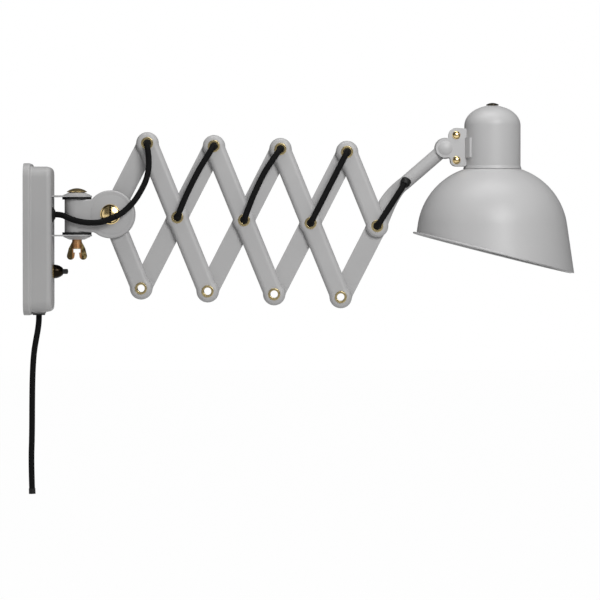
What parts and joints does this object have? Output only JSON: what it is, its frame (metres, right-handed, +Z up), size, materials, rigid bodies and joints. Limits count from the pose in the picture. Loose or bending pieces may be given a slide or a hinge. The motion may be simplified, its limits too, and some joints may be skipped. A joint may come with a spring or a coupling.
{
  "type": "scissor arm wall lamp",
  "caption": "Wall lamp on an extending scissor arm, with a wall box, swing bracket, threaded cable, ball joint head and tilting round shade.",
  "frame": {"origin": "centre of the back face of the wall box, on the wall", "axes": "+X away from the wall, +Z up, the face with the large slotted screw looks along -Y"},
  "size_m": [0.7326, 0.2116, 0.5221],
  "materials": {
    "grey_paint_steel": "satin light grey paint",
    "grey_paint_alloy": "satin light grey paint on aluminium",
    "zinc_steel": "plain zinc plated steel",
    "brass": "polished brass with light tarnish",
    "black_fibre": "matt black fibre",
    "black_rubber": "matt black rubber",
    "black_braid": "black braided textile cable",
    "dark_plastic": "dark moulded plastic"
  },
  "bodies": {
    "wall_box": {"housing": "grey_paint_steel", "back_plate": "zinc_steel", "terminal_block": "dark_plastic", "cover_screws": "zinc_steel", "bracket": "grey_paint_steel", "bracket_bolt": "brass", "cone_washers": "grey_paint_steel", "fibre_washers": "black_fibre", "switch_bushing": "brass", "cable_grommet": "black_rubber", "mains_gland": "black_rubber", "mains_cord": "black_braid", "cord_end_sleeve": "black_rubber", "cable_loop": "black_braid"},
    "button": {"push_button": "dark_plastic"},
    "wing_nut": {"wing_nut": "brass"},
    "knuckle": {"knuckle": "grey_paint_alloy", "pivot_screw": "brass", "pivot_nut": "brass", "pivot_washers": "black_fibre"},
    "upper_arm": {"upper_half_arm": "grey_paint_alloy", "rivet_upper_half_arm": "brass"},
    "lower_arm": {"lower_half_arm": "grey_paint_alloy", "rivet_lower_half_arm": "brass"},
    "front_arm_body_1": {"front_arm_1": "grey_paint_alloy", "rivets_front_arm_1": "brass", "rear_cable_1": "black_braid"},
    "rear_arm_body_1": {"rear_arm_1": "grey_paint_alloy", "rivet_rear_arm_1": "brass", "front_cable_1": "black_braid"},
    "front_arm_body_2": {"front_arm_2": "grey_paint_alloy", "rivets_front_arm_2": "brass", "rear_cable_2": "black_braid"},
    "rear_arm_body_2": {"rear_arm_2": "grey_paint_alloy", "rivet_rear_arm_2": "brass", "front_cable_2": "black_braid"},
    "front_arm_body_3": {"front_arm_3": "grey_paint_alloy", "rivets_front_arm_3": "brass", "rear_cable_3": "black_braid"},
    "rear_arm_body_3": {"rear_arm_3": "grey_paint_alloy", "rivet_rear_arm_3": "brass", "front_cable_3": "black_braid"},
    "front_arm_body_4": {"front_half_arm": "grey_paint_alloy", "rivet_front_half_arm": "brass", "rear_cable_4": "black_braid"},
    "lamp_arm_body": {"lamp_arm": "grey_paint_alloy", "front_cable_4": "black_braid", "tube_grommet": "black_rubber"},
    "ball": {"ball_joint": "grey_paint_steel"},
    "head": {"clamp_front": "grey_paint_steel", "clamp_rear": "grey_paint_steel", "clamp_screws": "brass", "clamp_nuts": "brass", "cap": "grey_paint_alloy", "top_plug": "brass", "shade": "grey_paint_alloy", "lamp_holder": "dark_plastic"}
  },
  "joints": [
    {"name": "button_press", "type": "slide", "parent": "wall_box", "child": "button", "axis": [-1, 0, 0], "range_m": [0, 0.003], "stiffness_N_per_m": 400},
    {"name": "nut_turn", "type": "hinge", "parent": "wall_box", "child": "wing_nut", "pos_m": [0.0692, 0, 0], "axis": [0, 0, 1], "range_deg": [0, 180]},
    {"name": "swing", "type": "hinge", "parent": "wall_box", "child": "knuckle", "pos_m": [0.0692, 0, 0.0312], "axis": [0, 0, 1], "range_deg": [-80, 80], "deforming": ["cable_loop"]},
    {"name": "tilt", "type": "hinge", "parent": "knuckle", "child": "upper_arm", "pos_m": [0.1148, 0, 0.0332], "axis": [0, 1, 0], "range_deg": [-30, 21], "deforming": ["cable_loop"]},
    {"name": "extend", "type": "hinge", "parent": "upper_arm", "child": "front_arm_body_1", "pos_m": [0.1634, 0, 0.12796], "axis": [0, -1, 0], "range_deg": [-18, 40]},
    {"name": "fold_lower_arm", "type": "hinge", "parent": "upper_arm", "child": "lower_arm", "pos_m": [0.1148, 0, 0.0332], "axis": [0, 1, 0], "range_deg": [-40, 18]},
    {"name": "fold_b1", "type": "hinge", "parent": "front_arm_body_1", "child": "rear_arm_body_2", "pos_m": [0.24371, 0, -0.06932], "axis": [0, 1, 0], "range_deg": [-18, 40]},
    {"name": "fold_t2", "type": "hinge", "parent": "rear_arm_body_2", "child": "front_arm_body_3", "pos_m": [0.3409, 0, 0.12022], "axis": [0, 1, 0], "range_deg": [-40, 18]},
    {"name": "fold_b3", "type": "hinge", "parent": "front_arm_body_3", "child": "lamp_arm_body", "pos_m": [0.42121, 0, -0.07706], "axis": [0, 1, 0], "range_deg": [-18, 40]},
    {"name": "fold_m1", "type": "hinge", "parent": "front_arm_body_1", "child": "rear_arm_body_1", "pos_m": [0.20355, 0, 0.02933], "axis": [0, 1, 0], "range_deg": [-18, 40]},
    {"name": "fold_m2", "type": "hinge", "parent": "rear_arm_body_2", "child": "front_arm_body_2", "pos_m": [0.2923, 0, 0.02545], "axis": [0, 1, 0], "range_deg": [-40, 18]},
    {"name": "fold_m3", "type": "hinge", "parent": "front_arm_body_3", "child": "rear_arm_body_3", "pos_m": [0.38106, 0, 0.02158], "axis": [0, 1, 0], "range_deg": [-18, 40]},
    {"name": "fold_m4", "type": "hinge", "parent": "lamp_arm_body", "child": "front_arm_body_4", "pos_m": [0.46981, 0, 0.0177], "axis": [0, 1, 0], "range_deg": [-40, 18]},
    {"name": "head_roll", "type": "hinge", "parent": "lamp_arm_body", "child": "ball", "pos_m": [0.56023, 0, 0.12129], "axis": [0.757, 0, 0.6534], "range_deg": [-35, 35]},
    {"name": "head_tilt", "type": "hinge", "parent": "ball", "child": "head", "pos_m": [0.56023, 0, 0.12129], "axis": [0, 1, 0], "range_deg": [-60, 12]}
  ],
  "couplings": [
    {"joint": "fold_lower_arm", "follows": "extend", "ratio": -1},
    {"joint": "fold_b1", "follows": "extend", "ratio": 1},
    {"joint": "fold_t2", "follows": "extend", "ratio": -1},
    {"joint": "fold_b3", "follows": "extend", "ratio": 1},
    {"joint": "fold_m1", "follows": "extend", "ratio": 1},
    {"joint": "fold_m2", "follows": "extend", "ratio": -1},
    {"joint": "fold_m3", "follows": "extend", "ratio": 1},
    {"joint": "fold_m4", "follows": "extend", "ratio": -1}
  ]
}
